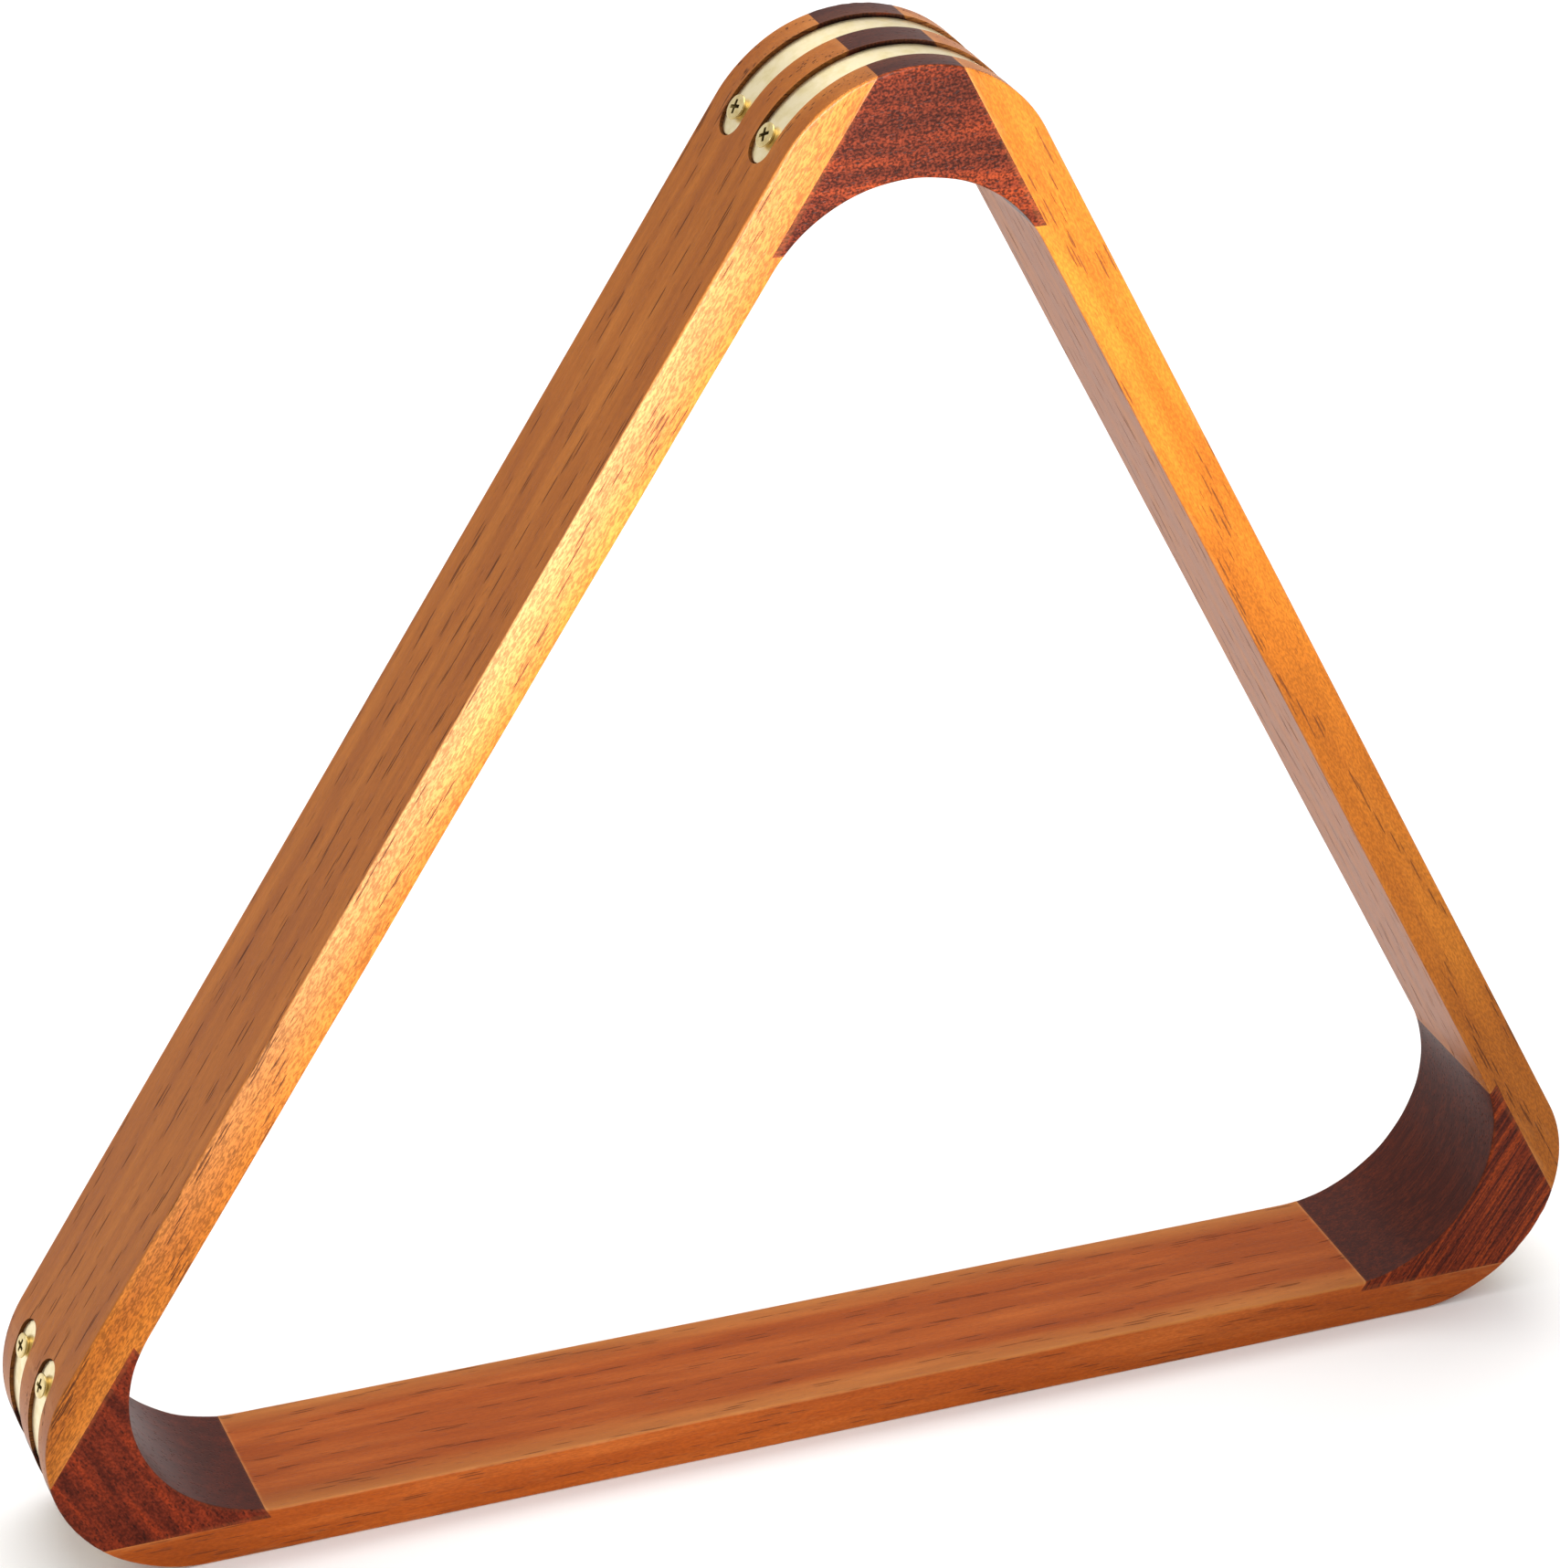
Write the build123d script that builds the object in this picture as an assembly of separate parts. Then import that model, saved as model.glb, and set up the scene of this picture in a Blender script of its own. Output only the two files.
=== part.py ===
"""Triangle rack for fifteen pool balls.

Three straight rails are glued to three corner blocks. The corners are rounded inside and out, and each one
is tied by two brass straps, which lie in grooves round the outside. A screw at each end of a strap goes
through the rail into the block. Their heads stand proud, but under the base rail they are sunk until the
rack rests on wood.

The rack stands on its base rail: +Z points up to the top corner and the front face looks along -Y. The
origin is on the base rail's outer face, where the rack rests, half way along the rack and through it.
Everything is made about the rack's centre, where the bisectors of its corners cross, and is carried to the
origin when it is written. Lengths are in millimetres and angles in degrees.
"""

from build123d import *
import math
import os

# The balls, and the room that they have
ball_diameter = 57.15
balls_in_a_side = 5
ball_play = 0.7  # between the racked balls and each rail

# The rails and the corner blocks
rail_thickness = 9.7
rack_depth = 31.5
outside_corner_radius = {"top": 28.5, "right": 30.0, "left": 30.9}  # rounded by hand, each a little differently
nest_radius = 29.8  # the inside corner, a little over a ball's radius
edge_round = 0.4
block_let_in = 1.8  # how deep each block sits in the inner faces of its rails
block_tip_gap = 3.3  # the blunt tips of a block stop this far inside the end of the nest's arc

# The brass straps and their grooves
strap_width = 6.8
strap_thickness = 1.0
strap_reach = 53.6  # how far a strap runs along a rail, from where the two rails' outer faces would meet
strap_below_wood = 0.55  # on the rail
strap_dip = 0.2  # how much deeper a strap lies at the middle of its corner
strap_side_gap = 0.2
strap_spacing = 13.4  # between the middle lines of a corner's two straps

# The screws
screw_from_tip = 5.0  # from a strap's end
screw_length = 12.0  # below the strap's upper face
screw_diameter = 2.5
core_diameter = 1.8
thread_pitch = 1.1
plain_shank = 2.2  # below the head's cone
point_length = 2.6
head_diameter = 4.7
head_rim = 0.3
head_dome = 0.15
cone_out = {"left": 0.7, "right": 0.7, "base": 0.1}  # what a rail's countersinks leave of the head's cone
recess_width = 2.7
recess_slot = 0.6
recess_depth = 1.2
turn_between_screws = 37.0  # each screw stops at its own angle

hole_gap = 0.02  # between a screw and the wood or the brass round its shank
cut_margin = 2.0  # how far a cutting body reaches past what it cuts

# Sizes that follow
third = 120.0
slope = math.sqrt(3)
inner_distance = (balls_in_a_side - 1) * ball_diameter / (2 * slope) + ball_diameter / 2 + ball_play
outer_distance = inner_distance + rail_thickness
joint_distance = inner_distance + block_let_in
block_base = 2 * inner_distance - 1.5 * nest_radius + block_tip_gap

strap_tip = slope * outer_distance - strap_reach  # along a rail from its middle
groove_depth = strap_thickness + strap_below_wood
groove_width = strap_width + 2 * strap_side_gap
floor_distance = outer_distance - groove_depth
floor_radius = {corner: radius - groove_depth + strap_dip for corner, radius in outside_corner_radius.items()}

cone_height = (head_diameter - screw_diameter) / 2  # its sides slope at 45 degrees

corner_turns = {"top": 0.0, "right": third, "left": -third}
rails_at_corner = {"top": ("left", "right"), "right": ("right", "base"), "left": ("base", "left")}
strap_places = {"front": -strap_spacing / 2, "back": strap_spacing / 2}


def turned(shape, angle):
    """The shape carried round the rack's centre, clockwise as seen from the front."""
    return Rot(0, angle, 0) * shape


def rounded_triangle(distance, top_radius, right_radius, left_radius):
    """An equilateral outline in the XZ plane, each side at the distance from the centre."""
    corners = [(0, 2 * distance), (slope * distance, -distance), (-slope * distance, -distance)]
    outline = Polygon(*corners, align=None)
    for corner, radius in zip(corners, (top_radius, right_radius, left_radius)):
        outline = fillet(outline.vertices().sort_by_distance(corner)[0], radius)
    return Plane.XZ * outline


def ring_blank():
    """The whole wooden triangle before it is parted, with its four long rims eased."""
    outside = rounded_triangle(outer_distance, *(outside_corner_radius[corner] for corner in corner_turns))
    inside = rounded_triangle(inner_distance, nest_radius, nest_radius, nest_radius)
    ring = extrude(outside - inside, rack_depth / 2, both=True)
    front = ring.faces().sort_by(Axis.Y)[0]
    back = ring.faces().sort_by(Axis.Y)[-1]
    return fillet(front.edges() + back.edges(), edge_round)


def block_room():
    """What the top block takes of the ring: between its two joint faces, above its blunt tips."""
    half_base = (2 * joint_distance - block_base) / slope
    corners = [(-half_base, block_base), (half_base, block_base), (0, 2 * joint_distance)]
    outline = Plane.XZ * Polygon(*corners, align=None)
    return extrude(outline, rack_depth / 2 + cut_margin, both=True)


def corner_sector(tip):
    """The part of the XZ plane round the top corner, cut square across both rails at the tip."""
    near = 2 * tip / slope
    rise = outer_distance
    corners = [(0, near), (slope * rise, near + rise), (-slope * rise, near + rise)]
    return Plane.XZ * Polygon(*corners, align=None)


def end_waste(tip, width, side):
    """What a square strap end loses to become a half circle, at one end of the top corner."""
    length = width / 2 + cut_margin
    height = 2 * (groove_depth + cut_margin)
    block = Pos(length / 2 - cut_margin, 0, 0) * Box(length, width + 2 * cut_margin, height)
    waste = block - Pos(width / 2, 0, 0) * Cylinder(width / 2, height)
    return turned(Pos(side * tip, 0, -outer_distance) * Rot(0, 0, 90 - 90 * side) * waste, -side * third)


def band(radius, thickness, width, tip):
    """A band of the thickness on a floor of that radius round the top corner, with half-round ends."""
    upper = rounded_triangle(floor_distance + thickness, *[radius + thickness] * 3)
    floor = rounded_triangle(floor_distance, *[radius] * 3)
    square_ended = extrude((upper - floor) & corner_sector(tip), width / 2, both=True)
    return square_ended - end_waste(tip, width, 1) - end_waste(tip, width, -1)


def screw_seat(radius, side):
    """Where a screw stands on a strap round the top corner, at its upper face, with +Z out along the screw."""
    floor_arc_end = slope * (floor_distance - radius)  # along a rail from its middle
    run = strap_tip + screw_from_tip - floor_arc_end
    lean = math.degrees(max(run, 0) / radius)
    along = floor_arc_end + min(run, 0)
    bend_centre = Pos(side * along, 0, radius - floor_distance)
    outward = Rot(0, 180 - side * lean, 0) * Pos(0, 0, radius + strap_thickness)
    return Rot(0, -side * third, 0) * bend_centre * outward


def seats(radius):
    """The seats of the screws at both ends of a corner's two straps, as at the top corner."""
    return [Pos(0, place, 0) * screw_seat(radius, side) for place in strap_places.values() for side in (-1, 1)]


def groove(radius):
    """The room of a strap's groove round the top corner, open to the outside."""
    return band(radius, groove_depth + cut_margin, groove_width, strap_tip - strap_side_gap)


def screw_hole():
    """The hole that a screw fills in the wood and in its strap, under the strap's upper face."""
    radius = screw_diameter / 2 + hole_gap
    length = screw_length - point_length
    shaft = Pos(0, 0, -length / 2) * Cylinder(radius, length)
    point = Pos(0, 0, -length - point_length / 2) * Cone(hole_gap, radius, point_length)
    return shaft + point


def countersink(cone_above):
    """The cone that a head sits in, carried on upwards to clear the strap's bend."""
    height = cone_height - cone_above + cut_margin
    middle = Pos(0, 0, cut_margin - height / 2)
    return middle * Cone(screw_diameter / 2, screw_diameter / 2 + height, height)


def strap(corner):
    """A brass strap bent to its groove, still at the top, with holes to suit the corner's two rails."""
    radius = floor_radius[corner]
    piece = band(radius, strap_thickness, strap_width, strap_tip)
    for rail, side in zip(rails_at_corner[corner], (-1, 1)):
        piece -= screw_seat(radius, side) * screw_hole()
        piece -= screw_seat(radius, side) * countersink(cone_out[rail])
    return piece


def cross_recess(head_face):
    """Two tapered bars, crossed under the head's face."""
    foot = head_face - recess_depth
    half_slot = recess_slot / 2
    corners = [
        (-recess_width / 2, head_face + cut_margin), (recess_width / 2, head_face + cut_margin),
        (recess_width / 2, head_face), (half_slot, foot), (-half_slot, foot), (-recess_width / 2, head_face),
    ]
    bar = extrude(Plane.XZ * Polygon(*corners, align=None), half_slot, both=True)
    return bar + Rot(0, 0, 90) * bar


def screw(cone_above):
    """A countersunk cross-head wood screw, its origin on the strap's upper face and +Z towards its head."""
    outer = screw_diameter / 2
    core = core_diameter / 2
    rim = head_diameter / 2
    shank_top = cone_above - cone_height
    rim_top = cone_above + head_rim
    head_face = rim_top + head_dome
    thread_top = shank_top - plain_shank
    thread_length = screw_length - point_length + thread_top
    ridges = int(thread_length / thread_pitch)
    points = [(rim, cone_above), (outer, shank_top), (outer, thread_top)]
    for ridge in range(ridges):
        top = thread_top - ridge * thread_pitch
        points += [(core, top - thread_pitch / 2), (outer, top - thread_pitch)]
    points += [(core, -screw_length + point_length - thread_pitch / 2), (0, -screw_length)]
    dome = ThreePointArc((0, head_face), (rim / 2, rim_top + 0.75 * head_dome), (rim, rim_top))
    flank = Polyline((rim, rim_top), *points)
    axis = Line((0, -screw_length), (0, head_face))
    profile = Plane.XZ * make_face([dome, flank, axis])
    return revolve(profile, Axis.Z) - cross_recess(head_face)


def carved_ring():
    """The ring with every groove and screw hole cut in it."""
    ring = ring_blank()
    one_hole = screw_hole()
    for corner, turn in corner_turns.items():
        one_groove = groove(floor_radius[corner])
        cuts = [Pos(0, place, 0) * one_groove for place in strap_places.values()]
        cuts += [seat * one_hole for seat in seats(floor_radius[corner])]
        ring -= [turned(cut, turn) for cut in cuts]
    return ring


def wooden_parts():
    """The three rails and the three corner blocks, by name."""
    ring = carved_ring()
    rooms = {corner: turned(block_room(), turn) for corner, turn in corner_turns.items()}
    parts = {f"{corner}_block": ring & room for corner, room in rooms.items()}
    rails = (ring - list(rooms.values())).solids().sort_by(Axis.X)
    for name, rail in zip(("left_rail", "base_rail", "right_rail"), rails):
        parts[name] = rail
    return parts


def brass_parts():
    """The six straps and the twelve screws, by name."""
    rail_screws = {rail: screw(cone_above) for rail, cone_above in cone_out.items()}
    parts = {}
    for corner, turn in corner_turns.items():
        bent = strap(corner)
        for place, offset in strap_places.items():
            parts[f"{corner}_{place}_strap"] = turned(Pos(0, offset, 0) * bent, turn)
            for rail, side in zip(rails_at_corner[corner], (-1, 1)):
                clocked = Rot(0, 0, turn_between_screws * len(parts)) * rail_screws[rail]
                seated = Pos(0, offset, 0) * screw_seat(floor_radius[corner], side) * clocked
                parts[f"{corner}_{place}_screw_{rail}"] = turned(seated, turn)
    return parts


reach = {corner: slope * (outer_distance - radius) + radius for corner, radius in outside_corner_radius.items()}
to_origin = Pos((reach["left"] - reach["right"]) / 2, 0, outer_distance)
os.makedirs("parts", exist_ok=True)
for name, part in {**wooden_parts(), **brass_parts()}.items():
    export_step(to_origin * part, f"parts/{name}.step")
    print(name)
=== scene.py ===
import math
import bmesh
import bpy
import numpy as np
from functools import partial
from mathutils import Matrix, Vector


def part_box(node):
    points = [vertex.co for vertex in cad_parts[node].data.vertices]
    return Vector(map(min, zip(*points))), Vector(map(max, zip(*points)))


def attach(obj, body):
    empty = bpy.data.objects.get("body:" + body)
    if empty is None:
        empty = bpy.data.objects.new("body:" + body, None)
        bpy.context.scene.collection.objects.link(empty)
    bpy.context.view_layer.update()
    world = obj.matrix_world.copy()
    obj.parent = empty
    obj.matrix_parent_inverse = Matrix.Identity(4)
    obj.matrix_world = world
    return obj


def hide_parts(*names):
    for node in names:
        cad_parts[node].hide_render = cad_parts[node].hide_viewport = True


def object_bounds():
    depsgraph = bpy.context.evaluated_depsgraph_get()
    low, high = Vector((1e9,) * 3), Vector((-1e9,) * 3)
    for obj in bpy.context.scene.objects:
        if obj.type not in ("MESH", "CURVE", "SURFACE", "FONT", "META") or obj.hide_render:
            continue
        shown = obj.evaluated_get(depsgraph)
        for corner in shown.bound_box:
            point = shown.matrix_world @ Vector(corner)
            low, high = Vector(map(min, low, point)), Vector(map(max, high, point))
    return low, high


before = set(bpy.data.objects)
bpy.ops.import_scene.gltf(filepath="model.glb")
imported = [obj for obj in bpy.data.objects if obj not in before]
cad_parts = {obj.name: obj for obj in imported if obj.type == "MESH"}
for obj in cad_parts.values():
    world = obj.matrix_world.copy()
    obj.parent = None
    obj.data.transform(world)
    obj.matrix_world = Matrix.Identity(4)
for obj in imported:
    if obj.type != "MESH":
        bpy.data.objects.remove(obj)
cadLow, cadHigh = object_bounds()
mm = 0.001
rootThree = math.sqrt(3)
third = 120.0


# ---- sizes shared by every piece, from the frame and the woodwork that it follows

rack = {
    "outsideRadius": {"top": 28.5 * mm, "right": 30.0 * mm, "left": 30.9 * mm},
    "nestRadius": 29.8 * mm,
    "railThickness": 9.7 * mm,
    "letIn": 1.8 * mm,  # how deep a block sits in its rails
    "rim": 0.42 * mm,  # eased edge
    "rimWear": 0.30,  # share by which the rim's size wanders
}
depth = cadHigh.y - cadLow.y
outer = (cadHigh.z - cadLow.z + rack["outsideRadius"]["top"]) / 3  # from the rack's centre to an outer face
inner = outer - rack["railThickness"]
joint = inner + rack["letIn"]
reach = {corner: rootThree * (outer - radius) + radius for corner, radius in rack["outsideRadius"].items()}
rackCentre = Vector(((reach["left"] - reach["right"]) / 2, 0, cadLow.z + outer))
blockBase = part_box("top_block")[0].z - rackCentre.z
nestMiddle = 2 * (inner - rack["nestRadius"])  # where a nest's centre lies on its bisector
cornerTurns = {"top": 0.0, "right": third, "left": -third}
railTurns = {"base": 0.0, "left": third, "right": -third}
railsAtCorner = {"top": ("left", "right"), "right": ("right", "base"), "left": ("base", "left")}
railEnds = {"base": ("left", "right"), "left": ("top", "left"), "right": ("right", "top")}


def turnPoints(points, degrees):
    # rotation about the rack's centre, clockwise from the front, then out to the frame
    c, s = math.cos(math.radians(degrees)), math.sin(math.radians(degrees))
    x, y, z = points[..., 0], points[..., 1], points[..., 2]
    return np.stack([x * c + z * s + rackCentre.x, y, z * c - x * s + rackCentre.z], -1)


def linear(hexColour):
    # sRGB hex to linear RGBA
    parts = np.array([int(hexColour[i:i + 2], 16) for i in (1, 3, 5)]) / 255
    low, high = parts / 12.92, ((parts + 0.055) / 1.055) ** 2.4
    return (*np.where(parts <= 0.04045, low, high).tolist(), 1.0)


# ---- meshes

def makeMesh(name, points, faces, mergeBelow=1e-7):
    # points as rows of x y z, faces as a list of index lists
    mesh = bpy.data.meshes.new(name)
    mesh.from_pydata(points.reshape(-1, 3), [], faces)
    work = bmesh.new()
    work.from_mesh(mesh)
    bmesh.ops.remove_doubles(work, verts=work.verts, dist=mergeBelow)
    bmesh.ops.dissolve_degenerate(work, edges=work.edges, dist=mergeBelow)
    bmesh.ops.recalc_face_normals(work, faces=work.faces)
    work.to_mesh(mesh)
    work.free()
    piece = bpy.data.objects.new(name, mesh)
    bpy.context.scene.collection.objects.link(piece)
    return piece


def gridFaces(rows, columns, wrapColumns=True, start=0):
    # quads between neighbouring rows of a grid, closed round its columns if asked
    last = columns if wrapColumns else columns - 1
    r, c = np.meshgrid(np.arange(rows - 1), np.arange(last), indexing="ij")
    n = (c + 1) % columns
    quads = np.stack([r * columns + c, r * columns + n, (r + 1) * columns + n, (r + 1) * columns + c], -1)
    return (quads.reshape(-1, 4) + start).tolist()


def smoothBySharpness(piece, degrees=28.0):
    mesh = piece.data
    faces = len(mesh.polygons)
    area, normal = np.empty(faces), np.empty(faces * 3)
    mesh.polygons.foreach_get("area", area)
    mesh.polygons.foreach_get("normal", normal)
    broadFace = (area > 2 * mm ** 2) & (np.abs(normal[1::3]) > 0.9999)
    mesh.polygons.foreach_set("use_smooth", ~broadFace)
    mesh.set_sharp_from_angle(angle=math.radians(degrees))


def cutAway(piece, cutters, bare):
    # boolean difference, one cutter after another, kept in the mesh; the cut faces are left bare
    for cutter in cutters:
        cutter.data.materials.clear()
        cutter.data.materials.append(bare)
        tool = piece.modifiers.new("cut", "BOOLEAN")
        tool.operation = "DIFFERENCE"
        tool.solver = "MANIFOLD"
        tool.material_mode = "TRANSFER"
        tool.object = cutter
        graph = bpy.context.evaluated_depsgraph_get()
        cut = bpy.data.meshes.new_from_object(piece.evaluated_get(graph))
        old = piece.data
        piece.modifiers.clear()
        piece.data = cut
        cut.name = piece.name
        bpy.data.meshes.remove(old)


def discard(pieces):
    for piece in pieces:
        mesh = piece.data
        bpy.data.objects.remove(piece)
        bpy.data.meshes.remove(mesh)


def place(piece, node):
    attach(piece, "root")
    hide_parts(node)


def smoothNoise(u, seed, waves=9):
    # sum of a few sines with seeded wavelengths, between about -1 and 1
    pick = np.random.default_rng(seed)
    rates = pick.uniform(1.0, 14.0, waves)
    shifts = pick.uniform(0, 2 * math.pi, waves)
    return np.sin(np.outer(u, rates * 2 * math.pi) + shifts).sum(1) / math.sqrt(waves * 2)


# ---- wood: an outline in four runs, carried through the depth with its rims rounded

wood = {
    "runPoints": 121,
    "nestEndPoints": 12,  # on the short stretch of the nest's arc that a rail carries
    "bendPoints": 30,  # on a rail's share of the outside corner
    "endPoints": 3,
    "rimSteps": 5,
    "depthSteps": 6,
    "depthEnd": 2.5 * mm,  # how far the first and last of them lie from the faces
    "flatMargin": 0.3 * mm,
    "cornerPoints": 30,  # of each run, closed by one face at each end of a piece
}


def arcPoints(centre, radius, first, last, count):
    # points at angles measured from +Z towards +X
    turn = np.radians(np.linspace(first, last, count))
    return np.stack([centre[0] + radius * np.sin(turn), centre[1] + radius * np.cos(turn)], -1)


def linePoints(a, b, count, ends=True):
    t = np.linspace(0, 1, count + (0 if ends else 2))
    t = t if ends else t[1:-1]
    return np.array(a)[None] * (1 - t[:, None]) + np.array(b)[None] * t[:, None]


def railEnd(radius, inset):
    # half of the base rail, x and outward distance:
    # inner line and nest sliver; shoulder and joint face; outer line and bend
    nest = (rootThree * (inner - rack["nestRadius"]), inner - rack["nestRadius"])
    nestSize = rack["nestRadius"] + inset
    sliver = 60 - math.degrees(math.acos((blockBase - nestMiddle) / nestSize))
    bend = (rootThree * (outer - radius), outer - radius)
    rise = joint - bend[1]
    half = wood["runPoints"] // 2 + 1
    innerRun = np.concatenate([
        linePoints((0, inner + inset), (nest[0], inner + inset), half - wood["nestEndPoints"]),
        arcPoints(nest, nestSize, 0, sliver, wood["nestEndPoints"])[1:]])
    turnEnd = math.degrees(math.acos(rise / (radius - inset)))
    outerRun = np.concatenate([
        linePoints((0, outer - inset), (bend[0], outer - inset), half - wood["bendPoints"]),
        arcPoints(bend, radius - inset, 0, turnEnd, wood["bendPoints"])[1:]])
    shoulder = ((blockBase - joint / 2) * 2 / rootThree, joint)
    jointEnd = (bend[0] + math.sqrt(radius ** 2 - rise ** 2), joint)
    return innerRun, linePoints(shoulder, jointEnd, wood["endPoints"] + 1)[:-1], outerRun


def blockHalf(radius, inset):
    # half of the top block, x and height: nest arc; blunt tip and joint face; outer arc
    nestSize = rack["nestRadius"] + inset
    spread = math.degrees(math.acos((blockBase - nestMiddle) / nestSize))
    rise = joint - (outer - radius)
    meet = 60 - math.degrees(math.acos(rise / (radius - inset)))
    meetBare = math.radians(60) - math.acos(rise / radius)
    count = wood["runPoints"] // 2 + 1
    innerRun = arcPoints((0, nestMiddle), nestSize, 0, spread, count)
    outerRun = arcPoints((0, 2 * (outer - radius)), radius - inset, 0, meet, count)
    tip = ((2 * joint - blockBase) / rootThree, blockBase)
    jointEnd = (radius * math.sin(meetBare), 2 * (outer - radius) + radius * math.cos(meetBare))
    return innerRun, linePoints(tip, jointEnd, wood["endPoints"] + 1)[:-1], outerRun


def closedOutline(halves, inset):
    # right half and the left half mirrored, once round: inner run, right end, outer run, left end
    (leftInner, leftEnd, leftOuter), (rightInner, rightEnd, rightOuter) = [half(inset) for half in halves]
    mirror = np.array([-1.0, 1.0])
    innerRun = np.concatenate([leftInner[:0:-1] * mirror, rightInner])
    outerRun = np.concatenate([rightOuter[::-1], leftOuter[1:] * mirror])
    runs = (innerRun, rightEnd, outerRun, leftEnd[::-1] * mirror)
    return np.concatenate(runs), len(innerRun), len(rightEnd), len(outerRun)


def woodPiece(name, halves, sign, turn, seed):
    # position = outline + slide * inset; inset and depth follow a quarter circle at each rim
    outline, nInner, nEnd, nOuter = closedOutline(halves, 0.0)
    probe = 0.2 * mm
    slide = (closedOutline(halves, probe)[0] - outline) / probe
    u = np.arange(len(outline)) / len(outline)
    still = np.zeros_like(u)
    margin = np.full_like(u, wood["flatMargin"])
    margin[[0, nInner - 1, nInner + nEnd, nInner + nEnd + nOuter - 1]] = 0
    layers = []
    for side in (-1, 1):
        rim = rack["rim"] * (1 + rack["rimWear"] * smoothNoise(u, seed + side))
        turnSteps = np.radians(np.linspace(0, 90, wood["rimSteps"]))
        one = [(rim + margin, still)]
        one += [(rim * (1 - math.sin(a)), rim * (1 - math.cos(a))) for a in turnSteps]
        one.append((still, rim + wood["flatMargin"]))
        one = [(inset, side * (depth / 2 - below)) for inset, below in one]
        layers.append(one if side < 0 else one[::-1])
    span = depth / 2 - wood["depthEnd"]
    between = [(still, np.full_like(u, y)) for y in np.linspace(-span, span, wood["depthSteps"])]
    stations = layers[0] + between + layers[1]
    flat = [outline + slide * inset[:, None] for inset, _ in stations]
    rows = np.stack([np.stack([p[:, 0], y, sign * p[:, 1]], -1) for p, (_, y) in zip(flat, stations)])
    faces = gridFaces(len(rows), len(outline))

    # front and back: four-sided faces between the inner and outer runs, and one face at each end
    skip, outerStart = wood["cornerPoints"], nInner + nEnd
    along = np.arange(skip, nInner - 1 - skip)
    across = outerStart + nOuter - 1 - along
    quads = np.stack([along, along + 1, across - 1, across], -1)
    rightEnd = np.arange(nInner - 1 - skip, outerStart + skip + 1)
    back = np.arange(len(outline) - 1, outerStart + nOuter - 2 - skip, -1)
    leftEnd = np.concatenate([np.arange(skip, -1, -1), back])
    for start in (0, (len(rows) - 1) * len(outline)):
        faces += (quads + start).tolist() + [(rightEnd + start).tolist(), (leftEnd + start).tolist()]
    return makeMesh(name, turnPoints(rows, turn), faces)


# ---- straps and their grooves: a flat shape carried along the line, arc, line round a corner

strap = {
    "width": 6.8 * mm,
    "thickness": 1.0 * mm,
    "tip": rootThree * outer - 53.6 * mm,  # along a rail from its middle
    "belowWood": 0.55 * mm,
    "dip": 0.2 * mm,  # deeper at the middle of the corner
    "sideGap": 0.2 * mm,
    "spacing": 13.4 * mm,
    "edge": 0.16 * mm,
    "cutReach": 3.0 * mm,
}
floorDistance = outer - strap["thickness"] - strap["belowWood"]
floorRadii = {corner: radius - strap["thickness"] - strap["belowWood"] + strap["dip"]
              for corner, radius in rack["outsideRadius"].items()}
offsets = {"front": -strap["spacing"] / 2, "back": strap["spacing"] / 2}


def cornerPath(s, lift, floorRadius):
    # s is the way along the floor from the middle of the top corner, lift the height above the floor
    halfArc = math.radians(60) * floorRadius
    middle = 2 * (floorDistance - floorRadius)
    side = np.sign(s)
    way = np.abs(s)
    bend = np.minimum(way, halfArc) / floorRadius
    run = np.maximum(way - halfArc, 0)
    x = (floorRadius + lift) * np.sin(bend) + run * math.cos(math.radians(60))
    z = middle + (floorRadius + lift) * np.cos(bend) - run * math.sin(math.radians(60))
    return side * x, z


def bandHalfLength(tip, floorRadius):
    # from the middle of the corner to the tip of the band, along the floor
    return math.radians(60) * floorRadius + rootThree * (floorDistance - floorRadius) - tip


def bandGrid(halfLength, halfWidth, bodySteps, endSteps):
    # stations along the band, close together in the round ends, and the half width at each
    lean = np.radians(np.linspace(90, 0, endSteps))
    capStart = halfLength - halfWidth
    cap = capStart + halfWidth * np.sin(lean)
    s = np.concatenate([-cap, np.linspace(-capStart, capStart, bodySteps)[1:-1], cap[::-1]])
    past = np.clip(np.abs(s) - capStart, 0, halfWidth)
    return s, np.sqrt(np.maximum(halfWidth ** 2 - past ** 2, 0)), past


def grooveCutter(offset, turn, floorRadius):
    length = bandHalfLength(strap["tip"] - strap["sideGap"], floorRadius)
    s, w, _ = bandGrid(length, strap["width"] / 2 + strap["sideGap"], 90, 14)
    top = strap["thickness"] + strap["cutReach"]
    levels = ((-1, 0.0), (1, 0.0), (1, top), (-1, top))
    rows = []
    for across, lift in levels:
        x, z = cornerPath(s, lift, floorRadius)
        rows.append(np.stack([x, offset + across * w, z], -1))
    rows = np.stack(rows, 1)
    return makeMesh("grooveCutter", turnPoints(rows, turn), gridFaces(len(s), 4))


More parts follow.
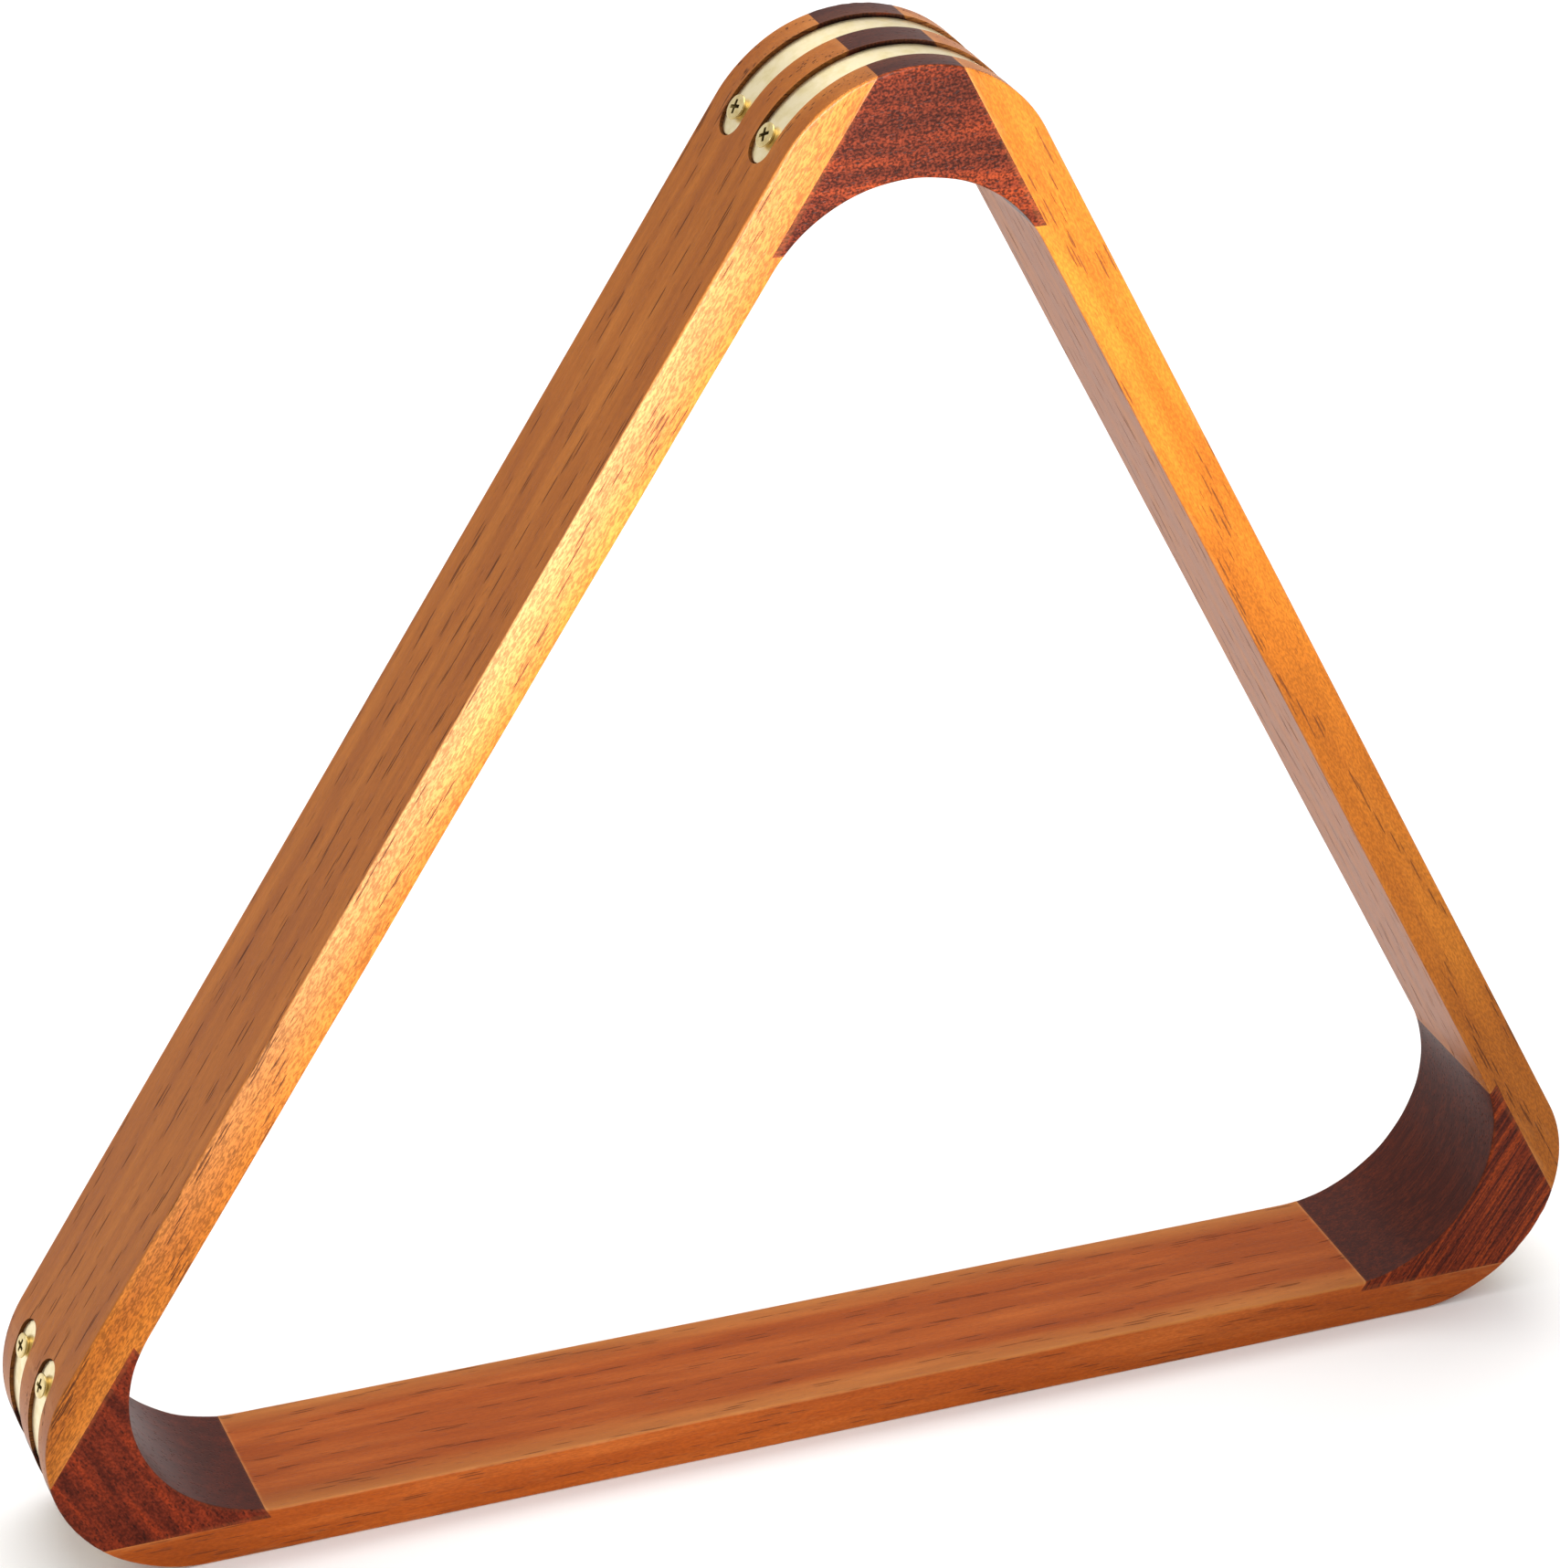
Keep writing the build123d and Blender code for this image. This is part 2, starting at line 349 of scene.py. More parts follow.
def strapPiece(name, offset, turn, floorRadius):
    # top height = thickness less a quarter round that depends on the distance to the border
    halfWidth = strap["width"] / 2
    s, w, past = bandGrid(bandHalfLength(strap["tip"], floorRadius), halfWidth, 100, 18)
    edge = strap["edge"]
    near = 1 - edge / halfWidth * (1 - np.cos(np.radians(np.linspace(0, 90, 5))))
    t = np.concatenate([-near, np.linspace(-near[-1], near[-1], 7)[1:-1], near[::-1]])
    side, along = np.meshgrid(t, s)
    wide = w[:, None]
    border = halfWidth - np.hypot(past[:, None], side * wide)
    short = np.clip(edge - border, 0, edge)
    drop = edge - np.sqrt(np.maximum(edge ** 2 - short ** 2, 0))
    sheets = []
    for lift, flip in ((strap["thickness"] - drop, 1), (drop, -1)):
        x, z = cornerPath(along, lift, floorRadius)
        sheet = np.stack([x, offset + side * wide, z], -1)
        sheets.append(sheet[:, ::flip])
    rows = np.concatenate(sheets, 1)
    return makeMesh(name, turnPoints(rows, turn), gridFaces(*rows.shape[:2]))


# ---- screws: a profile turned round an axis, a cross cut in the head, and a helix for a thread

screw = {
    "fromTip": 5.0 * mm,
    "length": 12.0 * mm,
    "radius": 1.25 * mm,
    "core": 0.9 * mm,
    "pitch": 1.1 * mm,
    "plainShank": 2.2 * mm,
    "point": 2.6 * mm,
    "headRadius": 2.35 * mm,
    "rim": 0.3 * mm,
    "dome": 0.15 * mm,
    "coneOut": {"left": 0.7 * mm, "right": 0.7 * mm, "base": 0.1 * mm},
    "recess": ((1.45, 0.40, 0.02), (1.36, 0.31, -0.06), (0.62, 0.20, -1.05), (0.12, 0.12, -1.35)),
    "clockStep": 37.0,
}


def seatMatrix(side, offset, turn, floorRadius):
    # the seat on the strap's upper face, its +Z out along the screw
    floorArcEnd = rootThree * (floorDistance - floorRadius)
    run = strap["tip"] + screw["fromTip"] - floorArcEnd
    lean = max(run, 0) / floorRadius
    bend = Matrix.Translation((side * (floorArcEnd + min(run, 0)), offset, floorRadius - floorDistance))
    out = Matrix.Rotation(math.pi - side * lean, 4, "Y")
    lift = Matrix.Translation((0, 0, floorRadius + strap["thickness"]))
    toCorner = Matrix.Rotation(math.radians(turn - side * third), 4, "Y")
    return Matrix.Translation(rackCentre) @ toCorner @ bend @ out @ lift


def turnedRows(profile, steps):
    # radius and height pairs carried round the axis
    turn = np.linspace(0, 2 * math.pi, steps, endpoint=False)
    r, z = np.array(profile)[:, :1], np.array(profile)[:, 1:]
    return np.stack([r * np.cos(turn), r * np.sin(turn), z + 0 * turn], -1)


def screwBody(name, coneOut):
    # the head's profile down to the shank, then radius = core + ridge of (height / pitch + angle / turn)
    steps = 64
    head, shank = screw["headRadius"], coneOut - (screw["headRadius"] - screw["radius"])
    rimTop = coneOut + screw["rim"]
    soft = 0.09 * mm
    rise = np.linspace(0, 1, 9)[1:]
    profile = [(head * r, rimTop + screw["dome"] * (1 - r ** 2)) for r in rise[:-1] * 0.97]
    profile = [(0.0, rimTop + screw["dome"])] + profile
    rimAngles = np.radians([20, 45, 70, 90])
    profile += [(head - soft + soft * math.sin(a), rimTop - soft + soft * math.cos(a)) for a in rimAngles]
    neck = (screw["radius"] + 0.25 * mm, shank + 0.25 * mm)
    profile += [(head, coneOut + soft), (head - 0.3 * soft, coneOut), neck]
    profile += [(screw["radius"], shank), (screw["radius"], shank - screw["plainShank"])]
    rows = turnedRows(profile, steps)
    top, bottom = shank - screw["plainShank"], -screw["length"]
    z = np.linspace(top, bottom, 130)[1:, None]
    turn = np.linspace(0, 2 * math.pi, steps, endpoint=False)[None]
    phase = (z / screw["pitch"] + turn / (2 * math.pi)) % 1.0
    ridge = np.clip(1 - np.abs(phase - 0.5) / 0.28, 0, 1)
    grow = np.clip((top - z) / screw["pitch"], 0, 1)
    taper = np.clip((z - bottom) / screw["point"], 0, 1) ** 0.8
    root = screw["radius"] + (screw["core"] - screw["radius"]) * grow
    r = (root + (screw["radius"] - root) * ridge) * taper
    thread = np.stack([r * np.cos(turn), r * np.sin(turn), z + 0 * turn], -1)
    rows = np.concatenate([rows, thread])
    return makeMesh(name, rows, gridFaces(*rows.shape[:2]))


def crossCutter(headFace):
    # a twelve-sided plus, narrower at each level down to a blunt point
    rows = []
    for reach, half, level in screw["recess"]:
        a, b = reach * mm, half * mm
        corner = [(a, b), (b, b), (b, a), (-b, a), (-b, b), (-a, b),
                  (-a, -b), (-b, -b), (-b, -a), (b, -a), (b, -b), (a, -b)]
        rows.append([(x, y, headFace + level * mm) for x, y in corner])
    above = [(x * 1.02, y * 1.02, headFace + 1.0 * mm) for x, y, _ in rows[0]]
    rows = np.array([above] + rows)
    faces = gridFaces(len(rows), 12)
    faces += [list(range(12)), list(range((len(rows) - 1) * 12, len(rows) * 12))]
    return makeMesh("crossCutter", rows, faces)


def screwMaster(rail):
    coneOut = screw["coneOut"][rail]
    piece = screwBody(f"screw_{rail}", coneOut)
    piece.data.materials.append(screwBrass)
    cutter = crossCutter(coneOut + screw["rim"] + screw["dome"])
    # the recess's cut faces take a dark brass: painted shade in the cross recess
    cutAway(piece, [cutter], recessShadeBrass)
    discard([cutter])
    return piece


def screwHoleCutter(rail, seat, gap=0.03 * mm):
    # countersink, shank and point, a little larger than the screw
    shank = screw["coneOut"][rail] - (screw["headRadius"] - screw["radius"])
    r, point = screw["radius"] + gap, -screw["length"]
    rise = 2.0 * mm
    profile = [(0.0, rise), (r + rise - shank, rise), (r, shank),
               (r, point + screw["point"]), (0.0, point - gap)]
    piece = makeMesh("holeCutter", turnedRows(profile, 40), gridFaces(len(profile), 40))
    piece.data.transform(seat)
    return piece


# ---- materials

def addNode(tree, kind, inputs=(), stops=(), **settings):
    # one node: inputs go by name or in order, and are sockets, nodes, sRGB hex colours or plain values
    node = tree.nodes.new(f"ShaderNode{kind}")
    for key, value in settings.items():
        setattr(node, key, value)
    for i, (position, value) in enumerate(stops):
        stop = node.color_ramp.elements[i] if i < 2 else node.color_ramp.elements.new(position)
        stop.position = position
        stop.color = linear(value) if isinstance(value, str) else (value, value, value, 1)
    live = [socket for socket in node.inputs if socket.enabled]
    for key, value in inputs.items() if isinstance(inputs, dict) else zip(live, inputs):
        socket = node.inputs[key] if isinstance(key, str) else key
        if isinstance(value, bpy.types.Node):
            value = next(output for output in value.outputs if output.enabled)
        if isinstance(value, bpy.types.NodeSocket):
            tree.links.new(value, socket)
        else:
            socket.default_value = linear(value) if isinstance(value, str) else value
    return node


def newMaterial(name):
    material = bpy.data.materials.new(name)
    material.use_nodes = True
    material.node_tree.nodes.clear()
    return material, partial(addNode, material.node_tree)


def grainCoordinates(add, turn, seed):
    # object coordinates turned so that X runs along the piece's grain, shifted to another part of the board
    spin = Matrix.Rotation(math.radians(-turn), 3, "Y")
    shift = -(spin @ rackCentre) + Vector((0.83, 0.57, 0.41)) * seed
    coords = add("TexCoord").outputs["Object"]
    return add("Mapping", {"Vector": coords, "Rotation": (0, math.radians(-turn), 0), "Location": shift})


def alongGrain(add, at, size):
    # coordinates counted in cells of the given length along the grain and width across it
    return add("VectorMath", [at, (1 / size[0], 1 / size[1], 1 / size[1])], operation="MULTIPLY")


railWood = {
    "left": {"pale": "#AE6724", "mid": "#9D5819", "deep": "#8E4C17",
             "rubbed": 0.75, "speckle": 0.34, "edge": 0.15, "pores": 0.75, "margins": 0.0},
    "right": {"pale": "#AE671B", "mid": "#9E5814", "deep": "#8D4C0F",
              "rubbed": 0.0, "speckle": 0.14, "edge": 0.3, "pores": 0.6, "margins": 0.0},
    "base": {"pale": "#AE5A20", "mid": "#98460F", "deep": "#8B3C0A",
             "rubbed": 0.0, "speckle": 0.06, "edge": 0.40, "pores": 0.5, "margins": 0.55},
    "pore": "#36160A",
    "vein": "#6A2E10",
    "edgeWearAndHighlightColour": "#C98A50",
    "marginColour": "#B57C40",
    # painted highlight on the front face: its colour, its height above the rail's middle and its reach
    "frontHighlightColour": "#A67B52",
    "frontHighlightAt": 22 * mm,  # above the rail's middle
    "frontHighlightReach": 120 * mm,
    "ringSpacing": 5.0 * mm,
    "poreCell": (11.0 * mm, 0.52 * mm),  # along and across the grain
    "fineCell": (4.5 * mm, 0.40 * mm),
    "fleck": (1.0 * mm, 0.28 * mm),
    "sheen": 0.12,
}
# bare meranti for groove and hole walls: its own golden colour, darkened as painted shade in the grooves
bareMerantiShaded = {"pale": "#80501F", "mid": "#653A14", "deep": "#45260C", "rubbed": 0.0, "speckle": 0.3,
               "edge": 0.0, "pores": 0.7, "margins": 0.0}


def paleEdgesWearAndHighlight(add, at, base, colour, amount):
    # rims paler, partly wear from handling and partly a painted highlight along the eased edges: convex edges
    # paler, broken up by a fine noise
    sharp = add("NewGeometry").outputs["Pointiness"]
    patchy = add("TexNoise", {"Vector": alongGrain(add, at, (6 * mm, 1.2 * mm)), "Scale": 1.0, "Detail": 3.0})
    worn = add("Math", [sharp, 0.54], operation="SUBTRACT")
    worn = add("Math", [patchy, 0.06, worn], operation="MULTIPLY_ADD")
    worn = add("Math", [worn, 20.0], operation="MULTIPLY", use_clamp=True)
    share = add("Math", [worn, amount], operation="MULTIPLY")
    return add("Mix", [share, base, colour], data_type="RGBA")


def paintedFrontHighlight(add, base, amount):
    # painted highlight: a pale satin highlight painted on the front face, fading both ways up and down the
    # rail: the share is one less the square of the way from the middle over the reach, on the front face
    # only, and falls from the rail's outer edge to its inner one
    plain = add("SeparateXYZ", [add("TexCoord").outputs["Object"]])
    front = add("Math", [0.5 * mm - depth / 2, plain.outputs["Y"]], operation="SUBTRACT")
    front = add("Math", [front, 2500.0], operation="MULTIPLY", use_clamp=True)
    middle = rackCentre.z + outer / 2 + railWood["frontHighlightAt"]
    way = add("Math", [plain.outputs["Z"], middle], operation="SUBTRACT")
    way = add("Math", [way, railWood["frontHighlightReach"]], operation="DIVIDE")
    square = add("Math", [way, way], operation="MULTIPLY")
    bell = add("Math", [1.0, square], operation="SUBTRACT", use_clamp=True)
    fromCentre = add("VectorMath", [add("TexCoord").outputs["Object"], rackCentre], operation="SUBTRACT")
    outwards = Vector((-rootThree / 2, 0, 0.5))
    distance = add("VectorMath", [fromCentre, outwards], operation="DOT_PRODUCT").outputs["Value"]
    across = add("Math", [distance, inner], operation="SUBTRACT")
    across = add("Math", [across, outer - inner], operation="DIVIDE")
    share = add("Math", [front, add("Math", [bell, amount], operation="MULTIPLY")], operation="MULTIPLY")
    share = add("Math", [share, across], operation="MULTIPLY", use_clamp=True)
    return add("Mix", [share, base, railWood["frontHighlightColour"]], data_type="RGBA")


def thinMargins(add, base, tone, facing, amount):
    # the stain has worn thin along both long margins of the upward face, where balls are set down:
    # the share rises with the way from the middle of the depth, and a slow noise bends the border
    fromMiddle = add("SeparateXYZ", [add("TexCoord").outputs["Object"]]).outputs["Y"]
    fromMiddle = add("Math", [fromMiddle], operation="ABSOLUTE")
    margin = add("Math", [fromMiddle, 3.4 / (depth / 2), -2.55], operation="MULTIPLY_ADD")
    margin = add("Math", [tone, 1.2, margin], operation="MULTIPLY_ADD")
    margin = add("Math", [margin, 0.62], operation="MULTIPLY", use_clamp=True)
    share = add("Math", [facing.outputs["Z"], margin], operation="MULTIPLY", use_clamp=True)
    share = add("Math", [share, amount], operation="MULTIPLY")
    return add("Mix", [share, base, railWood["marginColour"]], data_type="RGBA")


def stainedMeranti(name, colours, turn, seed, varnish=0.36):
    # meranti sawn and planed, stained orange and satin varnished: open pores as short dark dashes in
    # rows along the grain, fine pale flecks between them, slow bands of deeper stain and paler rims
    material, add = newMaterial(name)
    at = grainCoordinates(add, turn, seed)

    # rows: a saw-tooth of the way across the board, bent by a slow and a quick noise
    wander = add("TexNoise", {"Vector": alongGrain(add, at, (90 * mm, 30 * mm)), "Scale": 1.0, "Detail": 1.0})
    jitter = add("TexNoise", {"Vector": alongGrain(add, at, (38 * mm, 3 * mm)), "Scale": 1.0, "Detail": 2.0})
    parts = add("SeparateXYZ", [at])
    across = add("Math", [parts.outputs["Z"], 0.4, parts.outputs["Y"]], operation="MULTIPLY_ADD")
    across = add("Math", [wander, 24 * mm, across], operation="MULTIPLY_ADD")
    across = add("Math", [jitter, 2 * mm, across], operation="MULTIPLY_ADD")
    phase = add("Math", [across, railWood["ringSpacing"]], operation="DIVIDE")
    phase = add("Math", [phase], operation="FRACT")
    off = add("Math", [add("Math", [phase, 0.5], operation="SUBTRACT")], operation="ABSOLUTE")
    row = add("Math", [off, -6.0, 1.4], operation="MULTIPLY_ADD", use_clamp=True)

    tone = add("TexNoise", {"Vector": alongGrain(add, at, (60 * mm, 5 * mm)), "Scale": 1.0, "Detail": 3.0})
    base = add("ValToRGB", [tone], [(0.24, colours["deep"]), (0.50, colours["mid"]), (0.78, colours["pale"])])
    # painted highlight: a pale satin highlight on the front face
    if colours["rubbed"]:
        base = paintedFrontHighlight(add, base, colours["rubbed"])
    fibre = add("TexNoise", {"Vector": alongGrain(add, at, (9 * mm, 0.4 * mm)), "Scale": 1.0, "Detail": 3.0})
    fibreTone = add("ValToRGB", [fibre], [(0.30, 0.26), (0.70, 0.74)])
    base = add("Mix", [0.16, base, fibreTone], data_type="RGBA", blend_type="OVERLAY")
    fleck = add("TexNoise", {"Vector": alongGrain(add, at, railWood["fleck"]), "Scale": 1.0, "Detail": 2.0})
    fleckTone = add("ValToRGB", [fleck], [(0.40, 0.12), (0.60, 0.88)])
    facing = add("SeparateXYZ", [add("NewGeometry").outputs["Normal"]])
    sawn = add("Math", [facing.outputs["Y"]], operation="ABSOLUTE")
    fleckShare = add("Math", [sawn, colours["speckle"], 0.07], operation="MULTIPLY_ADD")
    base = add("Mix", [fleckShare, base, fleckTone], data_type="RGBA", blend_type="OVERLAY")

    # pores: dark where a stretched cell's centre is nearer than a reach, which is longest in the rows
    cells = add("TexVoronoi", {"Vector": alongGrain(add, at, railWood["poreCell"]), "Scale": 1.0})
    reachIn = add("Math", [row, 0.24, 0.11], operation="MULTIPLY_ADD")
    inside = add("Math", [reachIn, cells.outputs["Distance"]], operation="SUBTRACT")
    pore = add("Math", [inside, 0.07], operation="DIVIDE", use_clamp=True)
    fine = add("TexVoronoi", {"Vector": alongGrain(add, at, railWood["fineCell"]), "Scale": 1.0})
    fineInside = add("Math", [0.24, fine.outputs["Distance"]], operation="SUBTRACT")
    dot = add("Math", [fineInside, 0.12], operation="DIVIDE", use_clamp=True)
    if colours["margins"]:
        base = thinMargins(add, base, tone, facing, colours["margins"])
    for mask, share, colour in ((row, 0.12, "vein"), (dot, 0.30, "vein"), (pore, colours["pores"], "pore")):
        amount = add("Math", [mask, share], operation="MULTIPLY")
        base = add("Mix", [amount, base, railWood[colour]], data_type="RGBA")
    # pale rims: partly edge wear, partly a painted highlight along the eased edge
    base = paleEdgesWearAndHighlight(add, at, base, railWood["edgeWearAndHighlightColour"], colours["edge"])

    sunk = add("Math", [pore, -1.0], operation="MULTIPLY")
    raised = add("Math", [fleck, 0.35, sunk], operation="MULTIPLY_ADD")
    raised = add("Math", [dot, -0.35, raised], operation="MULTIPLY_ADD")
    bump = add("Bump", {"Strength": 0.5, "Distance": 0.10 * mm, "Height": raised})
    gloss = add("Math", [tone, 0.12, varnish - 0.06], operation="MULTIPLY_ADD")
    gloss = add("Math", [pore, 0.25, gloss], operation="MULTIPLY_ADD")
    shader = add("BsdfPrincipled", {"Base Color": base, "Roughness": gloss, "Normal": bump,
                                    "Specular IOR Level": railWood["sheen"]})
    add("OutputMaterial", {"Surface": shader})
    return material


blockWood = {
    "top": {"light": "#66260E", "mid": "#4D1B0C", "dark": "#381309", "speckle": 0.85, "streak": 0.22,
            "bandSize": (34 * mm, 2.8 * mm), "streakSize": (6 * mm, 0.8 * mm)},
    "left": {"light": "#7C2B11", "mid": "#602110", "dark": "#45160B", "speckle": 0.40, "streak": 0.4,
             "bandSize": (20 * mm, 2.2 * mm), "streakSize": (5 * mm, 0.6 * mm)},
    "right": {"light": "#88350F", "mid": "#66240E", "dark": "#43160C", "speckle": 0.3, "streak": 1.0,
              "bandSize": (30 * mm, 1.1 * mm), "streakSize": (16 * mm, 0.40 * mm)},
    "pore": "#1A0906",
    "glint": "#84422A",
    "curved": "#40231E",
    "curvedShare": 0.78,
    "speckSize": (0.55 * mm, 0.42 * mm),
    "poreCell": (2.0 * mm, 0.7 * mm),
    "sheen": 0.07,
}


def stainedMahogany(name, colours, turn, seed, varnish=0.34):
    # mahogany sawn to a curve, stained dark red and satin varnished: coarse short pores like speckle,
    # with the lighter streaks of the grain running straight across the corner, and the sanded curves
    # closed, even and grey-brown
    material, add = newMaterial(name)
    at = grainCoordinates(add, turn, seed)
    facing = add("SeparateXYZ", [add("NewGeometry").outputs["Normal"]])
    flat = add("Math", [facing.outputs["Y"]], operation="ABSOLUTE")
    curved = add("Math", [flat, -4.0, 2.0], operation="MULTIPLY_ADD", use_clamp=True)

    band = add("TexNoise", {"Vector": alongGrain(add, at, colours["bandSize"]), "Scale": 1.0})
    streakAt = alongGrain(add, at, colours["streakSize"])
    streak = add("TexNoise", {"Vector": streakAt, "Scale": 1.0, "Detail": 3.0})
    speck = add("TexNoise", {"Vector": alongGrain(add, at, blockWood["speckSize"]), "Scale": 1.0})
    swing = add("Math", [streak, 0.5], operation="SUBTRACT")
    tone = add("Math", [swing, colours["streak"], band], operation="MULTIPLY_ADD")
    bands = [(0.30, colours["dark"]), (0.50, colours["mid"]), (0.72, colours["light"])]
    base = add("ValToRGB", [tone], bands)
    speckTone = add("ValToRGB", [speck], [(0.40, 0.14), (0.60, 0.86)])
    base = add("Mix", [colours["speckle"], base, speckTone], data_type="RGBA", blend_type="OVERLAY")
    bright = add("Math", [speck, 5.0, -3.0], operation="MULTIPLY_ADD", use_clamp=True)
    glint = add("Math", [bright, colours["speckle"] * 0.35], operation="MULTIPLY")
    base = add("Mix", [glint, base, blockWood["glint"]], data_type="RGBA")
    cells = add("TexVoronoi", {"Vector": alongGrain(add, at, blockWood["poreCell"]), "Scale": 1.0})
    inside = add("Math", [0.30, cells.outputs["Distance"]], operation="SUBTRACT")
    pore = add("Math", [inside, 0.14], operation="DIVIDE", use_clamp=True)
    poreShare = add("Math", [pore, 0.6], operation="MULTIPLY")
    base = add("Mix", [poreShare, base, blockWood["pore"]], data_type="RGBA")
    closed = add("Math", [curved, blockWood["curvedShare"]], operation="MULTIPLY")
    base = add("Mix", [closed, base, blockWood["curved"]], data_type="RGBA")
    # pale rims: partly edge wear, partly a painted highlight along the eased edge
    base = paleEdgesWearAndHighlight(add, at, base, "#A8643A", 0.12)

    sunk = add("Math", [pore, -0.8], operation="MULTIPLY")
    raised = add("Math", [streak, 0.3, sunk], operation="MULTIPLY_ADD")
    bump = add("Bump", {"Strength": 0.4, "Distance": 0.08 * mm, "Height": raised})
    gloss = add("Math", [pore, 0.2, varnish], operation="MULTIPLY_ADD")
    shader = add("BsdfPrincipled", {"Base Color": base, "Roughness": gloss, "Normal": bump,
                                    "Specular IOR Level": blockWood["sheen"]})
    add("OutputMaterial", {"Surface": shader})
    return material


def drawnBrass(name, colour, worn, roughness, scratchSize):
    # brass strip or bar, drawn and tumbled: pale and clean, duller and warmer in blotches, with
    # painted shade darkening the hollows
    material, add = newMaterial(name)
    coords = add("TexCoord").outputs["Object"]
    blotch = add("TexNoise", {"Vector": coords, "Scale": 1 / (2.6 * mm), "Detail": 4.0, "Roughness": 0.6})
    patches = add("ValToRGB", [blotch], [(0.42, 0.0), (0.70, 1.0)])
    base = add("Mix", [patches, colour, worn], data_type="RGBA")
    # painted shade: concave places darkened towards a dark brown
    hollow = add("Math", [0.46, add("NewGeometry").outputs["Pointiness"]], operation="SUBTRACT")
    hollowShade = add("Math", [hollow, 8.0], operation="MULTIPLY", use_clamp=True)
    base = add("Mix", [hollowShade, base, "#3A2C14"], data_type="RGBA")
    fine = add("TexNoise", {"Vector": coords, "Scale": 1 / scratchSize, "Detail": 3.0, "Roughness": 0.7})
    gloss = add("Math", [blotch, 0.12, roughness - 0.14], operation="MULTIPLY_ADD")
    gloss = add("Math", [fine, 0.16, gloss], operation="MULTIPLY_ADD")
    bump = add("Bump", {"Strength": 0.25, "Distance": 0.03 * mm, "Height": fine})
    shader = add("BsdfPrincipled", {"Base Color": base, "Roughness": gloss, "Normal": bump, "Metallic": 1.0})
    add("OutputMaterial", {"Surface": shader})
    return material


# ---- building

print("materials")
bareRailShaded = stainedMeranti("sawn_meranti_bare_painted_shade", bareMerantiShaded, 0, 9, 0.7)
# bare mahogany on the groove and hole walls, near black: painted shade in the grooves
bareMahoganyShaded = {**blockWood["left"], "light": "#2E140A", "mid": "#1E0C06"}
bareBlockShaded = stainedMahogany("sawn_mahogany_bare_painted_shade", bareMahoganyShaded, 0, 9, 0.7)
strapBrass = drawnBrass("brass_strip", "#F0E1BA", "#E2D19E", 0.34, 0.5 * mm)
screwBrass = drawnBrass("brass_screw", "#DFCB95", "#BFA665", 0.30, 0.4 * mm)
# dark brass for the cross recess's faces: painted shade in the recess
recessShadeBrass = drawnBrass("brass_recess_painted_shade", "#7A683C", "#4E4224", 0.50, 0.4 * mm)

print("cutters")
grooves = {corner: [grooveCutter(offset, turn, floorRadii[corner]) for offset in offsets.values()]
           for corner, turn in cornerTurns.items()}
holes = {}
for corner, turn in cornerTurns.items():
    for placeName, offset in offsets.items():
        for rail, side in zip(railsAtCorner[corner], (-1, 1)):
            seat = seatMatrix(side, offset, turn, floorRadii[corner])
            holes[corner, placeName, rail] = (screwHoleCutter(rail, seat), seat)

print("rails")
for seed, (rail, turn) in enumerate(railTurns.items()):
    halves = [partial(railEnd, rack["outsideRadius"][corner]) for corner in railEnds[rail]]
    piece = woodPiece(f"{rail}_rail_wood", halves, -1, turn, 10 + seed)
    piece.data.materials.append(stainedMeranti(f"stained_meranti_{rail}", railWood[rail], turn, seed))
    corners = [corner for corner, rails in railsAtCorner.items() if rail in rails]
    # groove walls take the darkened bare meranti: partly painted shade
    cutAway(piece, [cutter for corner in corners for cutter in grooves[corner]], bareRailShaded)
    cutAway(piece, [cutter for key, (cutter, _) in holes.items() if key[2] == rail], bareRailShaded)
    smoothBySharpness(piece)
    place(piece, f"{rail}_rail")

print("blocks")
for seed, (corner, turn) in enumerate(cornerTurns.items()):
    halves = [partial(blockHalf, rack["outsideRadius"][corner])] * 2
    piece = woodPiece(f"{corner}_block_wood", halves, 1, turn, 20 + seed)
    stained = stainedMahogany(f"stained_mahogany_{corner}", blockWood[corner], turn, seed + 5)
    piece.data.materials.append(stained)
    # groove walls take the near black bare mahogany: painted shade
    cutAway(piece, grooves[corner], bareBlockShaded)
    cutAway(piece, [cutter for key, (cutter, _) in holes.items() if key[0] == corner], bareBlockShaded)
    smoothBySharpness(piece)
    place(piece, f"{corner}_block")

print("straps and screws")
masters = {rail: screwMaster(rail) for rail in railTurns}
count = 0
for corner, turn in cornerTurns.items():
    for placeName, offset in offsets.items():
        band = strapPiece(f"{corner}_{placeName}_strap_brass", offset, turn, floorRadii[corner])
        band.data.materials.append(strapBrass)
        cutAway(band, [holes[corner, placeName, rail][0] for rail in railsAtCorner[corner]], strapBrass)
        smoothBySharpness(band)
        place(band, f"{corner}_{placeName}_strap")
        for rail in railsAtCorner[corner]:
            count += 1
            seat = holes[corner, placeName, rail][1]
            clock = Matrix.Rotation(math.radians(screw["clockStep"] * count), 4, "Z")
            mesh = masters[rail].data.copy()
            mesh.transform(seat @ clock)
            one = bpy.data.objects.new(f"{corner}_{placeName}_screw_{rail}_brass", mesh)
            bpy.context.scene.collection.objects.link(one)
            smoothBySharpness(one, 35.0)
            place(one, f"{corner}_{placeName}_screw_{rail}")
